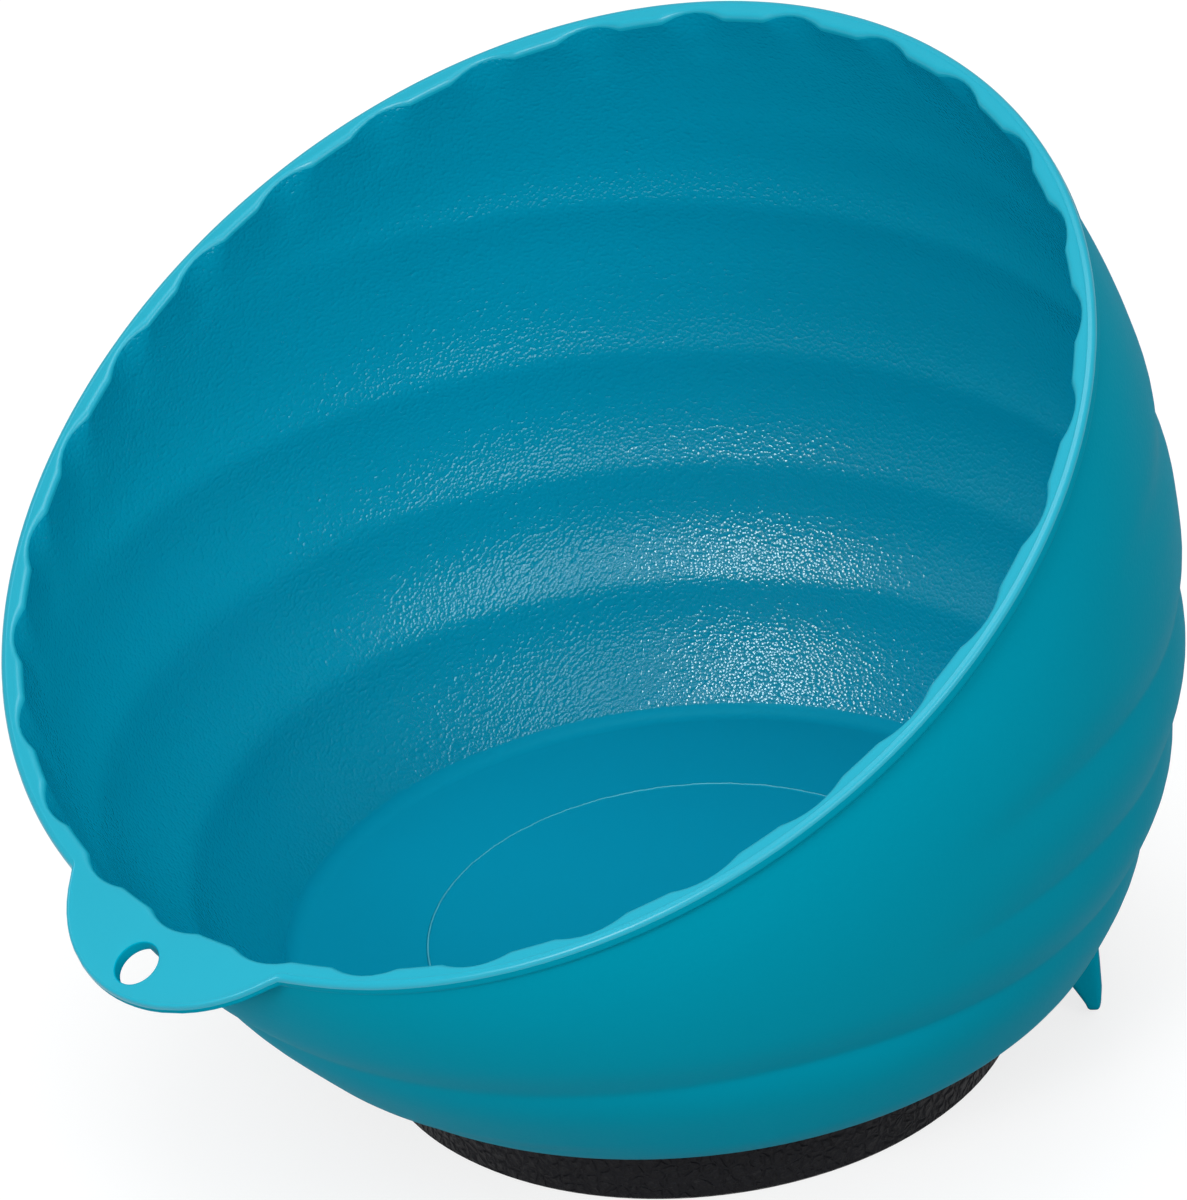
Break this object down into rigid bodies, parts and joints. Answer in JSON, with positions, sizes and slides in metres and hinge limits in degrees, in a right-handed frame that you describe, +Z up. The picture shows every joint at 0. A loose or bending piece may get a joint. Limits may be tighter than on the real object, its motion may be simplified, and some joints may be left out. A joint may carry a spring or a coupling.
{
  "type": "magnetic parts tray",
  "caption": "Deep rippled plastic bowl with a slanted scalloped rim and a hanging tongue, standing on a round rubber-covered magnet, for holding small steel parts.",
  "frame": {"origin": "middle of the flat standing face under the rubber boot", "axes": "+Z up through the base axis; the low side of the rim and its tongue are towards -Y; X is left to right across the plane of symmetry"},
  "size_m": [0.1508, 0.1576, 0.1247],
  "materials": {
    "teal_plastic": "satin moulded plastic with fine grain",
    "steel": "zinc plated",
    "nickel": "nickel plated",
    "black_rubber": "matt, grained"
  },
  "bodies": {
    "root": {"bowl": "teal_plastic", "cover_disc": "teal_plastic", "fixing_screw": "steel", "washer": "steel", "back_plate": "steel", "threaded_bush": "steel", "magnet_discs": "nickel", "rubber_boot": "black_rubber"}
  },
  "joints": []
}
